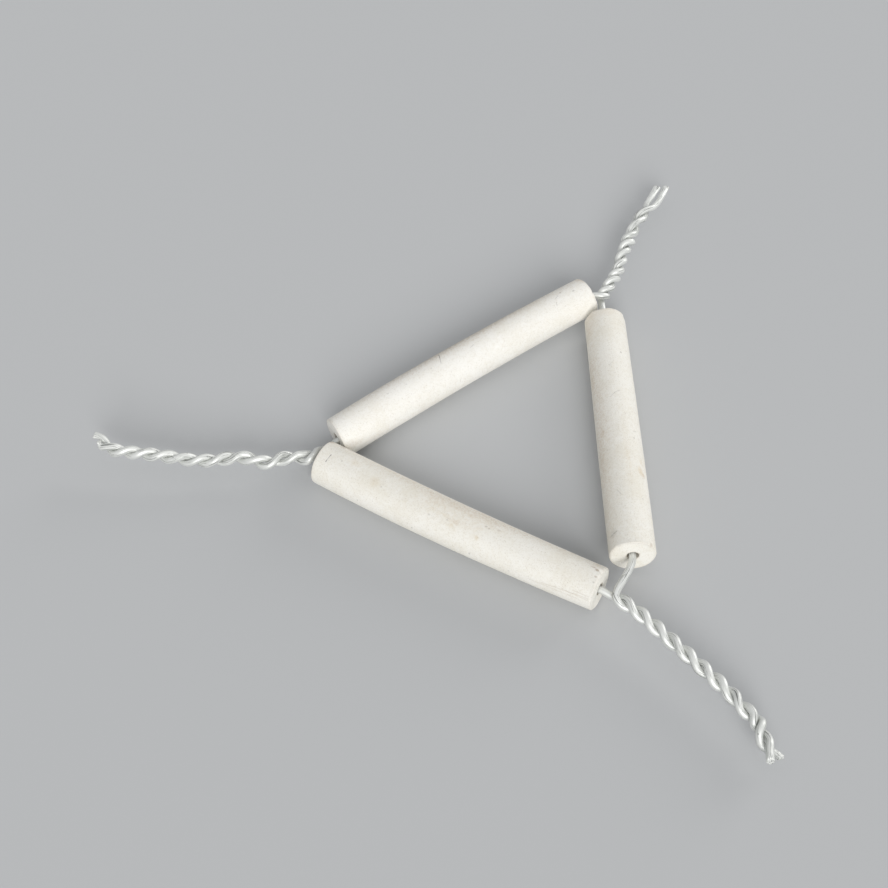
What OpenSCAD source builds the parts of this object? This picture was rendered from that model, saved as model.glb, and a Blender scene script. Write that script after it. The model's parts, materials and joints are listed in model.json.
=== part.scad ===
// Pipe clay triangle: three clay tubes on three wires, each pair of wire ends twisted into a tail.
// Origin: centre of the circle that touches the three tube axes in plan, on the floor. +Z is up.

/* [Tubes] */
// Outside diameter of a clay tube
tube_diameter = 8.66; // [8:0.02:9]
// Diameter of the bore through a tube
bore_diameter = 2.4; // [2.2:0.1:3.2]
// Length of the front tube
front_length = 60.2; // [54:0.1:61]
// Length of the right tube
right_length = 58.5; // [54:0.1:59.5]
// Length of the left tube
left_length = 61.2; // [54:0.1:62]
// Width of the small round on the rims of a tube
rim_round = 0.25; // [0.1:0.05:0.6]
// Distance from the centre to each tube's axis, in plan
seat_radius = 21.4; // [21.2:0.1:23]

/* [Wires] */
// Diameter of the wire
wire_diameter = 1.4; // [1.2:0.02:1.44]
// Free gap between the two wires of a tail
strand_gap = 0.1; // [0.05:0.05:0.2]
// Sides of a bent stretch of wire
wire_sides = 10; // [8:2:16]
// Length between two rings along a bent stretch of wire
ring_step = 0.6; // [0.4:0.1:1]

/* [Hidden] */

tube_radius = tube_diameter / 2;
wire_radius = wire_diameter / 2;
// radius of the helix that each wire of a tail follows round the tail's spine
lay_radius = wire_radius + strand_gap / 2;
// how far a bent stretch reaches into the straight one, and how much thinner it is there
splice = 0.5;
splice_skin = 0.005;
// fine step for measuring along a spine
fine_steps = 24;

// A tube: heading of its axis in plan, shift along the axis, length, lift of its start and of its end
front_tube = [0, 0.6, front_length, 0, 0];
right_tube = [122, 0.8, right_length, 1.6, 0];
left_tube = [244.35, -3.9, left_length, 1.5, 0];

// A tail: the spine's points, then
// [hand of the twist, angle of the over wire at the root, number of half turns]
// [length of each half turn, of which the last is a part of one]
// [extra lay radius at a loose spot, where its middle is, its width],
// [lay radius at the tip, distance from the tip where the wires start to spread, and where they have spread],
// then for the over and the under wire: [straight exit, droop, root pull, tail pull, cut back at the tip],
// and for the over and the under wire: points that lead on from the strand's end
left_tail = [
    [[-31.5, -20.3, 4.2], [-36.8, -23.7, 4.4], [-39.5, -26.8, 4.8], [-44.8, -28.3, 5.0],
     [-48.8, -31.4, 5.2], [-53.0, -33.7, 5.4], [-59.1, -36.0, 5.8], [-66.7, -39.1, 6.2],
     [-69.4, -39.5, 6.4], [-72.9, -38.9, 7.0]],
    [-1, 90, 11.9], [4.1, 4.0, 4.0, 3.9, 3.9, 3.9, 3.8, 3.8, 3.8, 3.7, 3.7, 3.3], [0.08, 9, 6], [1.0, 2.0, 0],
    [[-0.5, 0, 0.8, 0.8, 3.1], [-0.2, 0, 1, 0.8, 3.9]],
    [[[-71.25, -38.42, 6.75], [-72.2, -38.52, 6.95], [-73.3, -38.8, 7.25]],
     [[-69.9, -40.32, 6.65], [-70.5, -40.22, 6.72], [-70.9, -39.95, 6.97], [-71.1, -39.65, 7.4]]]];
top_tail = [
    [[-1.1, 42.1, 5.1], [-1.45, 46.75, 5.1], [-1.7, 50.55, 5.0], [-3.2, 56.3, 5.0],
     [-4.75, 66.3, 4.8], [-4.5, 70.85, 4.7], [-4.9, 79.9, 4.5]],
    [1, 120, 9.5], [2.2, 3.4, 2.25, 2.85, 3.4, 3.0, 2.25, 4.7, 4.9, 1.75], [0.22, 17.6, 1.5], [0.95, 9.5, 6.0],
    [[0.3, 0, 1, 1, 9.9], [0.3, 0, 0.8, 0.5, 9.8]],
    [[[-5.5, 72.4, 4.3], [-5.57, 74.7, 4.7], [-5.8, 78.4, 4.8]],
     [[-3.6, 71.75, 5.0], [-3.55, 74.4, 4.6], [-3.75, 76.5, 4.4], [-4.25, 79.85, 4.2]]]];
right_tail = [
    [[34.5, -21.5, 5.1], [38.8, -22.3, 5.0], [44.3, -23.9, 4.9], [57.5, -28.05, 4.5],
     [62.3, -30.1, 4.4], [64.95, -30.9, 4.3], [68.15, -34.15, 4.1], [70.3, -35.55, 4.0]],
    [1, 125, 11.5], [3.7, 3.6, 3.6, 3.6, 3.5, 3.5, 3.5, 3.4, 3.45, 2.35, 4.1, 1.7], [0, 0, 1], [0.95, 4.0, 0],
    [[0.3, 0, 1.05, 0.5, 2.7], [0.3, 0, 1, 1, 2.2]],
    [[[69.15, -34.45, 3.1], [70.05, -34.5, 3.2], [71.3, -34.95, 3.45]],
     [[69.15, -35.35, 4.85], [69.5, -36.05, 4.85], [70.0, -36.95, 4.65]]]];

// ---- the tubes' places
function heading(t) = [cos(t[0]), sin(t[0]), 0];
function outward(t) = [sin(t[0]), -cos(t[0]), 0];
function tube_middle(t) = outward(t) * seat_radius + heading(t) * t[1];
function tube_start(t) = tube_middle(t) - heading(t) * t[2] / 2 + [0, 0, tube_radius + t[3]];
function tube_end(t) = tube_middle(t) + heading(t) * t[2] / 2 + [0, 0, tube_radius + t[4]];
function tube_axis(t) = unit(tube_end(t) - tube_start(t));

// ---- curves
function unit(v) = v / norm(v);
function clip(x, low, high) = min(max(x, low), high);
function ease(t) = t * t * (3 - 2 * t);

// smooth curve through points, fine_steps to a span
function smooth_curve(p) =
    let (q = concat([2 * p[0] - p[1]], p, [2 * p[len(p) - 1] - p[len(p) - 2]]))
    [for (i = [1 : len(p) - 1])
        for (k = [0 : fine_steps - (i == len(p) - 1 ? 0 : 1)])
            let (t = k / fine_steps)
            0.5 * (2 * q[i] + (q[i + 1] - q[i - 1]) * t
                + (2 * q[i - 1] - 5 * q[i] + 4 * q[i + 1] - q[i + 2]) * t * t
                + (3 * q[i] - q[i - 1] - 3 * q[i + 1] + q[i + 2]) * t * t * t)];

// length measured along a list of points, at each point
function lengths(p) =
    [for (i = 0, s = 0; i < len(p); i = i + 1, s = i < len(p) ? s + norm(p[i] - p[i - 1]) : s) s];

// point at length s on a measured curve
function at(table, s) = [for (axis = [0 : 2]) lookup(s, table[axis])];
function measured(p) = let (s = lengths(p)) [for (axis = [0 : 2]) [for (i = [0 : len(p) - 1]) [s[i], p[i][axis]]]];

// cubic from point a with pull u to point b with pull v, without its last point
function bend(a, u, b, v, count) =
    [for (k = [0 : count - 1])
        let (t = k / count)
        (2 * t * t * t - 3 * t * t + 1) * a + (t * t * t - 2 * t * t + t) * u
            + (3 * t * t - 2 * t * t * t) * b + (t * t * t - t * t) * v];

// table of the half turns made at the end of each lap, with one more lap before the first
function lap_table(laps, whole_count) =
    let (all = concat([laps[0]], laps))
    [for (i = -1, s = -laps[0]; i <= len(laps); i = i + 1, s = i <= len(laps) ? s + all[i] : s)
        [s, min(i, whole_count)]];

// half turns made at a place: the mean of the counts just around it, so that the laps blend
function half_turns(s, table) =
    (lookup(s - 0.8, table) + lookup(s - 0.4, table) + lookup(s, table) + lookup(s + 0.4, table)
        + lookup(s + 0.8, table)) / 5;

// a path with further points that lead on from its end
function led_on(path, points) =
    len(points) == 0 ? path :
    let (
        fine = smooth_curve(concat([path[len(path) - 2], path[len(path) - 1]], points)),
        rest = [for (i = [fine_steps : len(fine) - 1]) fine[i]],
        table = measured(rest),
        whole = lengths(rest)[len(rest) - 1],
        count = round(whole / ring_step)
    )
    concat(path, [for (i = [1 : count]) at(table, i * whole / count)]);

// one wire of a tail from the root to the tip: side is 1 for the over wire and -1 for the under one
function strand(tail, side) =
    let (
        fine = smooth_curve(tail[0]),
        table = measured(fine),
        whole = lengths(fine)[len(fine) - 1],
        count = round(whole / ring_step),
        step = whole / count,
        laps = lap_table(tail[2], tail[1][2]),
        keep = floor((whole - tail[5][side > 0 ? 0 : 1][4]) / step)
    )
    led_on([for (i = [0 : keep])
        let (
            s = i * step,
            ahead = unit(at(table, min(s + step / 2, whole)) - at(table, max(s - step / 2, 0))),
            across = unit(cross([0, 0, 1], ahead)),
            above = cross(ahead, across),
            angle = tail[1][1] + tail[1][0] * 180 * half_turns(s, laps),
            loose = tail[3][0] * exp(-pow((s - tail[3][1]) / tail[3][2], 2)),
            spread = (tail[4][0] - lay_radius)
                * ease(clip((tail[4][1] - (whole - s)) / (tail[4][1] - tail[4][2]), 0, 1))
        )
        at(table, s) + side * (lay_radius + loose + spread) * (cos(angle) * across + sin(angle) * above)],
        tail[6][side > 0 ? 0 : 1]);

// path of a wire end, from a point inside its straight stretch to its tip
function wire_end(mouth, out, tail, side) =
    let (
        laid = strand(tail, side),
        how = tail[5][side > 0 ? 0 : 1],
        from = mouth + out * how[0],
        far = laid[0],
        reach = norm(far - from)
    )
    concat(
        [from - out * splice],
        bend(from, unit(out - [0, 0, how[1] / 2]) * reach * how[2], far,
            unit(laid[1] - laid[0]) * reach * how[3], max(3, round(reach / ring_step))),
        laid);

// ---- solids
// tube of one radius along a path, closed by flat ends
module sweep(path, radius) {
    last = len(path) - 1;
    ring = [for (j = [0 : wire_sides - 1]) j];
    points = [for (i = [0 : last])
        let (
            ahead = unit(path[min(i + 1, last)] - path[max(i - 1, 0)]),
            across = unit(cross([0, 0, 1], ahead)),
            above = cross(ahead, across)
        )
        for (j = ring)
            let (angle = 360 * j / wire_sides)
            path[i] + radius * (cos(angle) * across + sin(angle) * above)];
    walls = [for (i = [0 : last - 1]) for (j = ring)
        let (k = (j + 1) % wire_sides)
        [i * wire_sides + j, (i + 1) * wire_sides + j, (i + 1) * wire_sides + k, i * wire_sides + k]];
    start_face = ring;
    end_face = [for (j = ring) (last + 1) * wire_sides - 1 - j];
    polyhedron(points = points, faces = concat([start_face], walls, [end_face]));
}

// puts a child drawn along +Z onto the line from a to b
module along(a, b) {
    v = b - a;
    translate(a)
        rotate([0, acos(v[2] / norm(v)), atan2(v[1], v[0])])
            children();
}

module clay_tube(t) {
    color("ivory")
        along(tube_start(t), tube_end(t)) {
            whole = norm(tube_end(t) - tube_start(t));
            difference() {
                rotate_extrude($fn = 96)
                    polygon([[0, 0], [tube_radius - rim_round, 0], [tube_radius, rim_round],
                        [tube_radius, whole - rim_round], [tube_radius - rim_round, whole], [0, whole]]);
                translate([0, 0, -1])
                    cylinder(h = whole + 2, d = bore_diameter, $fn = 48);
            }
        }
}

// one wire: straight through its tube, then bent into the tail at each end
module wire(t, start_tail, start_side, end_tail, end_side) {
    out = tube_axis(t);
    first = tube_start(t) - out * start_tail[5][start_side > 0 ? 0 : 1][0];
    final = tube_end(t) + out * end_tail[5][end_side > 0 ? 0 : 1][0];
    color("lightgray") {
        along(first, final)
            cylinder(h = norm(final - first), r = wire_radius, $fn = 48);
        sweep(wire_end(tube_start(t), -out, start_tail, start_side), wire_radius - splice_skin);
        sweep(wire_end(tube_end(t), out, end_tail, end_side), wire_radius - splice_skin);
    }
}

module tube_front() { clay_tube(front_tube); }
module tube_right() { clay_tube(right_tube); }
module tube_left() { clay_tube(left_tube); }
module wire_front() { wire(front_tube, left_tail, -1, right_tail, -1); }
module wire_right() { wire(right_tube, right_tail, 1, top_tail, -1); }
module wire_left() { wire(left_tube, top_tail, 1, left_tail, 1); }

tube_front();
tube_right();
tube_left();
wire_front();
wire_right();
wire_left();
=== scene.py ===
"""Pipe clay triangle: three clay tubes on three galvanised wires, whose ends are twisted into tails.

Shapes are worked out in millimetres in the part's own frame and become metres in piece_mesh().
A tube's own directions are along (its axis), out (level, away from the triangle) and up. The words front,
right and left name a tube and its wire; left, top and right name the tails at the triangle's corners.
"""

import json
import math

import bpy
import numpy as np
from mathutils import Matrix, Vector


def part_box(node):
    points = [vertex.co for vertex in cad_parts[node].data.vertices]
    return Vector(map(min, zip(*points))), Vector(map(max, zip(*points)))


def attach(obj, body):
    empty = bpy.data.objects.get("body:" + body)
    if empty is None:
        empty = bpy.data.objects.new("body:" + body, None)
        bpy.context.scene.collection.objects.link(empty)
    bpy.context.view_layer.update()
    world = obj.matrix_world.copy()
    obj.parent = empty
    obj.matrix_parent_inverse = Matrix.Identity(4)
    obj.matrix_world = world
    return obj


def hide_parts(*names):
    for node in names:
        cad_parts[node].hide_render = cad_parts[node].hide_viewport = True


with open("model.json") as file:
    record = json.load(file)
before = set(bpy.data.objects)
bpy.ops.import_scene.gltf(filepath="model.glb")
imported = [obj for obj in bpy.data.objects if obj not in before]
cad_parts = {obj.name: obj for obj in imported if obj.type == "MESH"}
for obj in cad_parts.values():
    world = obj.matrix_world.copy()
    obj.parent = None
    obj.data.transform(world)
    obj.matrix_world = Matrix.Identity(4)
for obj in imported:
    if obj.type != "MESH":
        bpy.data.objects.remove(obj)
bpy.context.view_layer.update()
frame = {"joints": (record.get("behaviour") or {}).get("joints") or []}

MM = 0.001
JOINTS = {joint["name"]: joint for joint in frame["joints"]}

# ---------------------------------------------------------------- sizes of the object, in millimetres
BORE_RADIUS = 1.13
MOUTH_ROUND = 0.06
SOLID_RIM = 0.25  # width of the cut rim on the plain solids
WIRE_RADIUS = 0.7
LAY_RADIUS = WIRE_RADIUS + 0.02  # from a tail's spine to the middle of each of its wires
TUBE_RADIUS = (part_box("tube_front")[1].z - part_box("tube_front")[0].z) / 2 / MM

# ---------------------------------------------------------------- how finely the shapes are divided
TUBE_SIDES = 200
WALL_RINGS = 240
RIM_RINGS = 10
FACE_RINGS = 12
MOUTH_RINGS = 6
BORE_RINGS = 36
WIRE_SIDES = 28
WIRE_STEP = 0.12  # from one ring of a wire to the next
CURVE_STEPS = 48  # between two points of a smooth curve

# ---------------------------------------------------------------- unevenness, as depths in millimetres
CLAY_HOLLOWS = 0.035
CLAY_GRAIN = 0.012
FACE_HOLLOWS = 0.05
WIRE_HOLLOWS = 0.012  # as a share of the radius
END_FADE = 12.0  # length along the tube over which the further reach of an end fades

# ---------------------------------------------------------------- camera
VIEW_AZIMUTH = 37.171
VIEW_ELEVATION = 52.688
VIEW_ROLL = -7.45
VIEW_DISTANCE = 265.731
VIEW_TARGET = (-13.023, -3.531, 0.0)
VIEW_LENS = 53.70


def make_camera():
    """Looks at the target from an azimuth and elevation, turned by the roll about the line of sight."""
    azimuth, elevation, roll = (math.radians(a) for a in (VIEW_AZIMUTH, VIEW_ELEVATION, VIEW_ROLL))
    back = Vector((
        math.sin(azimuth) * math.cos(elevation),
        -math.cos(azimuth) * math.cos(elevation),
        math.sin(elevation),
    ))
    level_right = (-back).cross(Vector((0, 0, 1))).normalized()
    level_up = level_right.cross(-back)
    right = math.cos(roll) * level_right + math.sin(roll) * level_up
    up = math.cos(roll) * level_up - math.sin(roll) * level_right
    data = bpy.data.cameras.new("camera")
    data.sensor_width = 36
    data.lens = VIEW_LENS
    data.clip_start = 0.01
    data.clip_end = 20
    camera = bpy.data.objects.new("camera", data)
    turn = Matrix((right, up, back)).transposed().to_4x4()
    camera.matrix_world = Matrix.Translation((Vector(VIEW_TARGET) + back * VIEW_DISTANCE) * MM) @ turn
    bpy.context.collection.objects.link(camera)
    bpy.context.scene.camera = camera


make_camera()


# ---------------------------------------------------------------- meshes
def piece_mesh(name, places, quads, fans, follow):
    """An object from points in millimetres, faces of four and of three sides, and a vector at each point.

    That vector, follow, is where the point lies on a plain straight tube or wire, for the materials.
    """
    mesh = bpy.data.meshes.new(name)
    corners = np.concatenate([quads.ravel(), fans.ravel()]).astype(np.int32)
    sizes = np.concatenate([np.full(len(quads), 4), np.full(len(fans), 3)])
    mesh.vertices.add(len(places))
    mesh.vertices.foreach_set("co", (places * MM).astype(np.float32).ravel())
    mesh.loops.add(len(corners))
    mesh.loops.foreach_set("vertex_index", corners)
    mesh.polygons.add(len(sizes))
    mesh.polygons.foreach_set("loop_start", (np.cumsum(sizes) - sizes).astype(np.int32))
    mesh.polygons.foreach_set("use_smooth", np.ones(len(sizes), bool))
    mesh.update(calc_edges=True)
    mesh.validate()
    carried = mesh.attributes.new("follow", "FLOAT_VECTOR", "POINT")
    carried.data.foreach_set("vector", follow.astype(np.float32).ravel())
    made = bpy.data.objects.new(name, mesh)
    bpy.context.collection.objects.link(made)
    return made


def grid_faces(rows, columns, closed_rows):
    """Faces of a grid of points whose columns run round; closed_rows joins the last row to the first."""
    i = np.arange(rows if closed_rows else rows - 1)[:, None]
    j = np.arange(columns)[None, :]
    here, ahead = i * columns, (i + 1) % rows * columns
    side = (j + 1) % columns
    return np.stack([here + j, here + side, ahead + side, ahead + j], axis=-1).reshape(-1, 4)


def waves(seed, count, amplitude, *inputs):
    """Smooth unevenness: the amplitude over the root of count, times the sum of count cosines.

    A cosine is of phase + rate . input, with phase and rates drawn from the seed. Each input is an array, its
    highest rate, and whether that rate is a whole number, as it is for an angle.
    """
    draw = np.random.default_rng(seed)
    total = 0.0
    for _ in range(count):
        phase = draw.uniform(0, 2 * np.pi)
        for values, highest, whole in inputs:
            rate = draw.integers(-highest, highest + 1) if whole else draw.uniform(-highest, highest)
            phase = phase + rate * values
        total = total + np.cos(phase)
    return amplitude * total / math.sqrt(count)


# ---------------------------------------------------------------- tubes
def tube_line(where):
    """A tube's start, its axis and its length, from its joint's place and axis and its solid's box."""
    joint = JOINTS[f"{where}_tube_turn"]
    axis = np.array(joint["axis"], float)
    low, high = (np.array(corner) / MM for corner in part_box(f"tube_{where}"))
    k = int(np.argmax(np.abs(axis)))
    slant = math.sqrt(max(0.0, 1 - axis[k] ** 2))
    length = (high[k] - low[k] - 2 * (TUBE_RADIUS - SOLID_RIM) * slant) / abs(axis[k])
    middle = np.array(joint["pos_m"], float) / MM
    return middle - axis * length / 2, axis, length


def tube_directions(axis):
    """Level direction away from the triangle, and the direction square to it and to the axis."""
    out = np.cross(axis, [0, 0, 1])
    out /= np.linalg.norm(out)
    return out, np.cross(out, axis)


def quarter(count):
    """Angles from 0 up to, but not with, a quarter turn, as a column."""
    return (np.arange(count) / count * np.pi / 2)[:, None]


def bent_centre(line, shape, x):
    """A tube's own middle line: start + x axis + out bow (4 t (1 - t) - 1/2) + up lift, t = x / length."""
    start, axis, length = line
    out, up = tube_directions(axis)
    t = (x / length)[..., None]
    first, last = shape["lift"]
    lift = first + (last - first) * t
    return start + x[..., None] * axis + out * shape["bow"] * (4 * t * (1 - t) - 0.5) + up * lift


def girth_change(shape, t):
    """What the radius gains: the cubic through the shape's four values at t = 0, 1/3, 2/3 and 1."""
    a, b, c, d = shape["girth"]
    u = 3 * t
    return (
        -a * (u - 1) * (u - 2) * (u - 3) / 6
        + b * u * (u - 2) * (u - 3) / 2
        - c * u * (u - 1) * (u - 3) / 2
        + d * u * (u - 1) * (u - 2) / 6
    )


def clay_tube(where, shape):
    """A clay tube with worn rims, carried round its axis as a closed profile.

    At angle a and step along the profile, a point is centre(x) + r (up cos a + out sin a), where (x, r) runs
    along the outer wall, round the far rim (a quarter circle of radius rim(a)), down the end face, round the
    mouth of the bore, back through the bore and up the other end. Each end is cut a little off square: it
    reaches extra + (slant_out sin a + slant_up cos a) r / R further. The radius follows girth_change, and
    chips and unevenness take a little off r.
    """
    line = tube_line(where)
    _, axis, length = line
    out, up = tube_directions(axis)
    seed, rims, chips = shape["seed"], shape["rims"], shape["chips"]
    angle = np.linspace(0, 2 * np.pi, TUBE_SIDES, endpoint=False)[None, :]
    ones = np.ones_like(angle)
    rim = [
        wide * (1 + waves(seed + 10 + k, 7, 0.35, (angle, 9, True)))
        for k, wide in enumerate(rims)
    ]
    rim = [np.clip(r, 0.15, 1.2) for r in rim]
    mouth = [MOUTH_ROUND * (1 + waves(seed + 20 + k, 5, 0.5, (angle, 6, True))) for k in (0, 1)]
    bore = BORE_RADIUS * ones
    wall, face, inside = (
        np.linspace(0, 1, count, endpoint=False)[:, None] for count in (WALL_RINGS, FACE_RINGS, BORE_RINGS)
    )
    turn, tight = quarter(RIM_RINGS), quarter(MOUTH_RINGS)
    stretches = [
        (rim[0] + (length - rim[0] - rim[1]) * wall, TUBE_RADIUS * ones + 0 * wall),
        (length - rim[1] * (1 - np.sin(turn)), TUBE_RADIUS - rim[1] * (1 - np.cos(turn))),
        (length + 0 * face * ones, (TUBE_RADIUS - rim[1]) * (1 - face) + (bore + mouth[1]) * face),
        (length - mouth[1] * (1 - np.cos(tight)), bore + mouth[1] * (1 - np.sin(tight))),
        (length - mouth[1] - (length - mouth[0] - mouth[1]) * inside, bore + 0 * inside),
        (mouth[0] * (1 - np.sin(tight)), bore + mouth[0] * (1 - np.cos(tight))),
        (0 * face * ones, (bore + mouth[0]) * (1 - face) + (TUBE_RADIUS - rim[0]) * face),
        (rim[0] * (1 - np.cos(turn)), TUBE_RADIUS - rim[0] * (1 - np.sin(turn))),
    ]
    x = np.concatenate([s[0] for s in stretches])
    r = np.concatenate([s[1] for s in stretches])
    follow = np.stack([x, r * np.sin(angle), r * np.cos(angle)], axis=-1)
    skin = np.clip((r - BORE_RADIUS - 0.6) / 1.5, 0, 1)
    uneven = 0.5 + waves(seed, 14, 0.3, (x, 0.5, False), (angle, 3, True))
    fine = 0.5 + waves(seed + 1, 18, 0.3, (x, 2.5, False), (angle, 14, True))
    r = r - skin * (CLAY_HOLLOWS * np.clip(uneven, 0, 1) + CLAY_GRAIN * np.clip(fine, 0, 1))
    nearest_end = np.minimum(x, length - x)
    on_face = np.exp(-((nearest_end / 0.15) ** 2)) * np.clip((TUBE_RADIUS - r) / 0.4, 0, 1)
    ripple = 0.5 + waves(seed + 2, 12, 0.35, (r, 2.0, False), (angle, 5, True))
    x = x + np.where(x < length / 2, 1, -1) * on_face * FACE_HOLLOWS * np.clip(ripple, 0, 1)
    for at, degrees, half_length, half_width, depth in chips:
        away = np.angle(np.exp(1j * (angle - math.radians(degrees)))) * TUBE_RADIUS / half_width
        along = (x - (at if at >= 0 else length + at + 1)) / half_length
        r = r - skin * depth * np.exp(-(away ** 2) - along ** 2)
    r = r + np.clip((r - BORE_RADIUS - 0.3) / 2, 0, 1) * girth_change(shape, np.clip(x / length, 0, 1))
    share = r / TUBE_RADIUS
    for (extra, slant_out, slant_up), way, from_end in zip(shape["ends"], (-1, 1), (x, length - x)):
        reach = extra + share * (slant_out * np.sin(angle) + slant_up * np.cos(angle))
        x = x + way * reach * np.clip(1 - from_end / END_FADE, 0, 1)
    places = (
        bent_centre(line, shape, x)
        + (r * np.cos(angle))[..., None] * up
        + (r * np.sin(angle))[..., None] * out
    )
    faces = grid_faces(*x.shape, True)
    no_fans = np.zeros((0, 3), int)
    tube = piece_mesh(f"{where}_clay_tube", places.reshape(-1, 3), faces, no_fans, follow.reshape(-1, 3))
    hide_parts(f"tube_{where}")
    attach(tube, f"{where}_roller")
    return tube


# ---------------------------------------------------------------- wires
# spine: points of the line that the two wires turn round.
# hand: of the twist. turn: the angle of the over wire at the root. half_turns: how many there are in all.
# laps: the length of each half turn, the last being a part of one.
# loose: extra lay radius at a loose spot, the spot's place and its width.
# spread: lay radius at the tip, and the distances from it where the wires start to spread and have spread.
# The rest is for the over wire (1) and the under one (-1).
# cuts: length by which the strand is shorter than the spine. tips: points that lead on from the strand's end.
# pulls: how far the curve from bore to strand keeps its direction at each of the two.
# leads, in place of pulls: where the strand starts, and the points that lead to it.
TAILS = {
    "left": dict(
        spine=[
            (-31.5, -20.3, 4.2), (-36.8, -23.7, 4.4), (-39.5, -26.8, 4.8), (-44.8, -28.3, 5.0),
            (-48.8, -31.4, 5.2), (-53.0, -33.7, 5.4), (-59.1, -36.0, 5.8), (-66.7, -39.1, 6.2),
            (-69.4, -39.5, 6.4), (-72.9, -38.9, 7.0),
        ],
        hand=-1, turn=90, half_turns=11.9, loose=(0.08, 9, 6), spread=(1.0, 2.0, 0),
        laps=(4.1, 4.0, 4.0, 3.9, 3.9, 3.9, 3.8, 3.8, 3.8, 3.7, 3.7, 3.3),
        cuts={1: 3.1, -1: 3.9}, pulls={},
        leads={
            1: (4.1, [
                (-31.0, -15.85, 3.35), (-31.45, -16.75, 2.95), (-32.22, -18.0, 3.3), (-32.52, -19.15, 4.1),
                (-32.27, -20.17, 4.7), (-32.05, -21.61, 5.2), (-32.5, -22.6, 4.6), (-33.69, -22.72, 4.0),
            ]),
            -1: (4.1, [
                (-31.0, -21.15, 3.85), (-32.2, -20.75, 3.6), (-33.45, -20.5, 3.95), (-34.13, -21.43, 4.7),
            ]),
        },
        tips={
            1: [(-71.25, -38.42, 6.75), (-72.2, -38.52, 6.95), (-73.05, -38.76, 7.2)],
            -1: [
                (-69.95, -40.2, 6.74), (-70.45, -40.15, 6.78), (-70.8, -39.95, 6.98), (-70.95, -39.68, 7.38),
            ],
        },
    ),
    "top": dict(
        spine=[
            (-1.1, 42.1, 5.1), (-1.45, 46.75, 5.1), (-1.7, 50.55, 5.0), (-3.2, 56.3, 5.0),
            (-4.75, 66.3, 4.8), (-4.5, 70.85, 4.7), (-4.9, 79.9, 4.5),
        ],
        hand=1, turn=120, half_turns=9.5, loose=(0.22, 17.6, 1.5), spread=(0.95, 9.5, 6.0),
        laps=(2.2, 3.4, 2.25, 2.85, 3.4, 3.0, 2.25, 4.7, 4.9, 1.75),
        cuts={1: 9.9, -1: 9.8}, pulls={1: (1, 1), -1: (0.8, 0.5)}, leads={},
        tips={
            1: [(-5.5, 72.4, 4.3), (-5.57, 74.7, 4.7), (-5.78, 78.2, 4.8)],
            -1: [(-3.6, 71.75, 5.0), (-3.55, 74.4, 4.6), (-3.75, 76.5, 4.4), (-4.23, 79.6, 4.2)],
        },
    ),
    "right": dict(
        spine=[
            (34.5, -21.5, 5.1), (38.8, -22.3, 5.0), (44.3, -23.9, 4.9), (57.5, -28.05, 4.5),
            (62.3, -30.1, 4.4), (64.95, -30.9, 4.3), (68.15, -34.15, 4.1), (70.3, -35.55, 4.0),
        ],
        hand=1, turn=125, half_turns=11.5, loose=(0, 0, 1), spread=(0.95, 4.0, 0),
        laps=(3.7, 3.6, 3.6, 3.6, 3.5, 3.5, 3.5, 3.4, 3.45, 2.35, 4.1, 1.7),
        cuts={1: 2.7, -1: 2.2}, pulls={1: (1.05, 0.5), -1: (1, 1)}, leads={},
        tips={
            1: [(69.15, -34.45, 3.1), (70.05, -34.5, 3.2), (70.95, -34.85, 3.4)],
            -1: [(69.15, -35.35, 4.85), (69.5, -36.05, 4.85), (69.9, -36.75, 4.7)],
        },
    ),
}
LAP_BLEND = (-0.8, -0.4, 0.0, 0.4, 0.8)  # places around a point over which the laps are blended
TIP_BLEND = 8  # points of the strand that a tip's curve takes the place of
STRAIGHT_EXIT = 0.3  # of a wire from its bore, before it bends


def unit(vectors):
    """The same directions with a length of 1."""
    return vectors / np.linalg.norm(vectors, axis=-1, keepdims=True)


def smooth_curve(points):
    """Catmull-Rom curve: between p1 and p2 it is (2 p1 + (p2 - p0) t + (2 p0 - 5 p1 + 4 p2 - p3) t^2
    + (3 p1 - p0 - 3 p2 + p3) t^3) / 2."""
    p = np.array(points, float)
    p = np.vstack([2 * p[0] - p[1], p, 2 * p[-1] - p[-2]])
    t = (np.arange(CURVE_STEPS) / CURVE_STEPS)[None, :, None]
    a, b, c, d = (p[k : len(p) - 3 + k, None, :] for k in range(4))
    curve = (2 * b + (c - a) * t + (2 * a - 5 * b + 4 * c - d) * t**2 + (3 * b - a - 3 * c + d) * t**3) / 2
    return np.vstack([curve.reshape(-1, 3), p[-2]])


def lengths(points):
    """Length from the first point to each point."""
    return np.concatenate([[0], np.cumsum(np.linalg.norm(np.diff(points, axis=0), axis=1))])


def evenly(points, step):
    """Points every step along a line of points, and their lengths from its start."""
    s = lengths(points)
    even = np.linspace(0, s[-1], int(math.ceil(s[-1] / step)) + 1)
    return np.stack([np.interp(even, s, points[:, k]) for k in range(3)], axis=1), even


def moving_frame(points):
    """At each point of a path: the way ahead, the level direction square to it, and that square to both."""
    ahead = unit(np.gradient(points, axis=0))
    across = unit(np.cross([0.0, 0.0, 1.0], ahead))
    return ahead, across, np.cross(ahead, across)


def ease(t):
    """0 to 1 with level ends: t^2 (3 - 2 t)."""
    t = np.clip(t, 0, 1)
    return t * t * (3 - 2 * t)


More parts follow.
